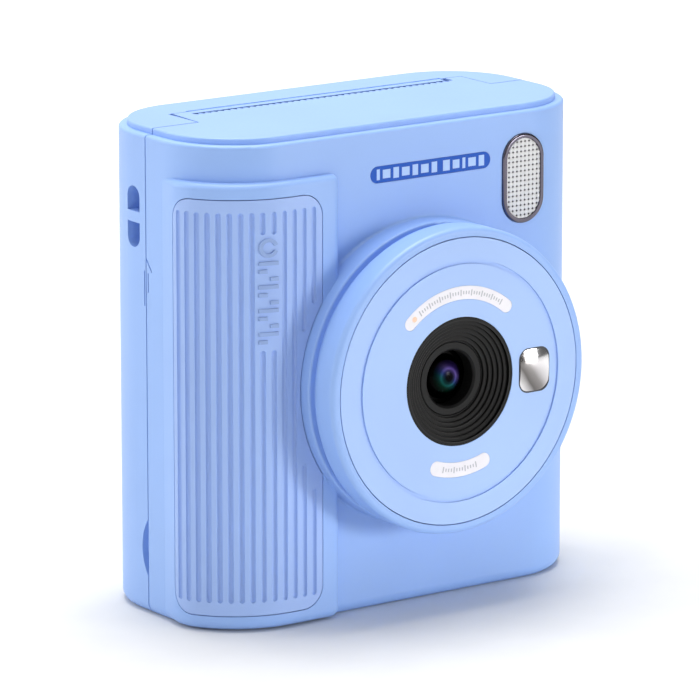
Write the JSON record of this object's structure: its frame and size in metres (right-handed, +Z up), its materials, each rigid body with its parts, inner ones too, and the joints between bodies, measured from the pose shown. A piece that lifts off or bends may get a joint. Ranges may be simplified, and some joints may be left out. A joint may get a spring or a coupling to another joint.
{
  "type": "kids digital camera",
  "caption": "Pocket camera for children with a built-in thermal printer: round-cornered casing, ribbed grip, large fixed lens ring, flash, paper slot, and a hinged back with screen and keys.",
  "frame": {"origin": "middle of the underside, on the surface the camera stands on", "axes": "+Z up, +X to the right seen from the front, the lens looks along -Y"},
  "size_m": [0.0969, 0.0573, 0.0956],
  "materials": {
    "blue_shell": "satin moulded plastic",
    "grip_panel": "satin moulded plastic, ribbed",
    "face_disc": "fine matt moulded plastic",
    "button_blue": "satin moulded plastic",
    "white_label": "printed film",
    "blue_label": "printed film",
    "steel": "plain",
    "black_plastic": "matt",
    "white_plastic": "natural acetal",
    "black_rubber": "ground silicone rubber",
    "mirror": "polished",
    "dark_chrome": "polished",
    "clear_lens": "moulded prisms",
    "lens_glass": "coated",
    "screen_glass": "polished",
    "screen_panel": "plain",
    "circuit_board": "solder mask",
    "battery_wrap": "foil",
    "paper": "thermal paper"
  },
  "bodies": {
    "front_half": {"front_shell": "blue_shell", "hinge_pins": "steel", "grip_panel": "grip_panel", "tear_bar": "steel", "lens_ring": "blue_shell", "face_disc": "face_disc", "upper_label": "white_label", "lower_label": "white_label", "selfie_mirror": "mirror", "lens_hood": "black_plastic", "lens_barrel": "black_plastic", "lens_glass": "lens_glass", "camera_module": "black_plastic", "flash_bezel": "dark_chrome", "flash_lens": "clear_lens", "flash_reflector": "mirror", "flash_board": "circuit_board", "front_label": "blue_label", "main_board": "circuit_board", "case_screws": "steel", "port_board": "circuit_board", "usb_port": "steel", "card_slot": "steel", "battery_tray": "black_plastic", "battery": "battery_wrap", "roll_bin": "black_plastic", "paper_web": "paper", "mech_frame": "steel", "print_head": "steel", "head_spring": "steel", "feed_motor": "steel", "idler_pin": "steel"},
    "back_door": {"rear_shell": "blue_shell", "screen_window": "screen_glass", "screen_panel": "screen_panel", "button_board": "circuit_board", "speaker": "black_plastic", "door_liner": "black_plastic", "door_screws": "steel", "platen_bracket": "black_plastic", "platen_bushings": "white_plastic", "snap_catches": "black_plastic"},
    "paper_reel": {"paper_roll": "paper", "roll_core": "black_plastic"},
    "platen": {"platen_shaft": "steel", "platen_roller": "black_rubber", "platen_gear": "white_plastic"},
    "idler": {"idler_gear": "white_plastic"},
    "motor_rotor": {"motor_pinion": "white_plastic"},
    "shutter_key": {"shutter_button": "button_blue"},
    "power_key": {"power_button": "button_blue"},
    "menu_key": {"menu_button": "button_blue"},
    "play_key": {"play_button": "button_blue"},
    "ok_key": {"ok_button": "button_blue"},
    "up_key": {"up_button": "button_blue"},
    "down_key": {"down_button": "button_blue"},
    "left_key": {"left_button": "button_blue"},
    "right_key": {"right_button": "button_blue"}
  },
  "joints": [
    {"name": "door_hinge", "type": "hinge", "parent": "front_half", "child": "back_door", "pos_m": [0.0482, 0.0005, 0.048], "axis": [0, 0, -1], "range_deg": [0, 100]},
    {"name": "reel_spin", "type": "hinge", "parent": "front_half", "child": "paper_reel", "pos_m": [0.00075, -0.0005, 0.06], "axis": [1, 0, 0], "continuous": true},
    {"name": "platen_spin", "type": "hinge", "parent": "back_door", "child": "platen", "pos_m": [0.00075, 0.01455, 0.085], "axis": [1, 0, 0], "continuous": true},
    {"name": "idler_spin", "type": "hinge", "parent": "front_half", "child": "idler", "pos_m": [-0.0325, 0.00495, 0.085], "axis": [1, 0, 0], "continuous": true},
    {"name": "motor_spin", "type": "hinge", "parent": "front_half", "child": "motor_rotor", "pos_m": [-0.0325, -0.00396, 0.08375], "axis": [1, 0, 0], "continuous": true},
    {"name": "shutter_press", "type": "slide", "parent": "back_door", "child": "shutter_key", "axis": [0, -1, 0], "range_m": [0, 0.0008], "stiffness_N_per_m": 600, "springref_m": -0.0004},
    {"name": "power_press", "type": "slide", "parent": "back_door", "child": "power_key", "axis": [0, -1, 0], "range_m": [0, 0.0008], "stiffness_N_per_m": 600, "springref_m": -0.0004},
    {"name": "menu_press", "type": "slide", "parent": "back_door", "child": "menu_key", "axis": [0, -1, 0], "range_m": [0, 0.0008], "stiffness_N_per_m": 600, "springref_m": -0.0004},
    {"name": "play_press", "type": "slide", "parent": "back_door", "child": "play_key", "axis": [0, -1, 0], "range_m": [0, 0.0008], "stiffness_N_per_m": 600, "springref_m": -0.0004},
    {"name": "ok_press", "type": "slide", "parent": "back_door", "child": "ok_key", "axis": [0, -1, 0], "range_m": [0, 0.0008], "stiffness_N_per_m": 600, "springref_m": -0.0004},
    {"name": "up_press", "type": "slide", "parent": "back_door", "child": "up_key", "axis": [0, -1, 0], "range_m": [0, 0.0008], "stiffness_N_per_m": 600, "springref_m": -0.0004},
    {"name": "down_press", "type": "slide", "parent": "back_door", "child": "down_key", "axis": [0, -1, 0], "range_m": [0, 0.0008], "stiffness_N_per_m": 600, "springref_m": -0.0004},
    {"name": "left_press", "type": "slide", "parent": "back_door", "child": "left_key", "axis": [0, -1, 0], "range_m": [0, 0.0008], "stiffness_N_per_m": 600, "springref_m": -0.0004},
    {"name": "right_press", "type": "slide", "parent": "back_door", "child": "right_key", "axis": [0, -1, 0], "range_m": [0, 0.0008], "stiffness_N_per_m": 600, "springref_m": -0.0004}
  ],
  "couplings": [
    {"joint": "platen_spin", "follows": "reel_spin", "ratio": -3.375},
    {"joint": "idler_spin", "follows": "reel_spin", "ratio": 2.025},
    {"joint": "motor_spin", "follows": "reel_spin", "ratio": -4.05}
  ]
}
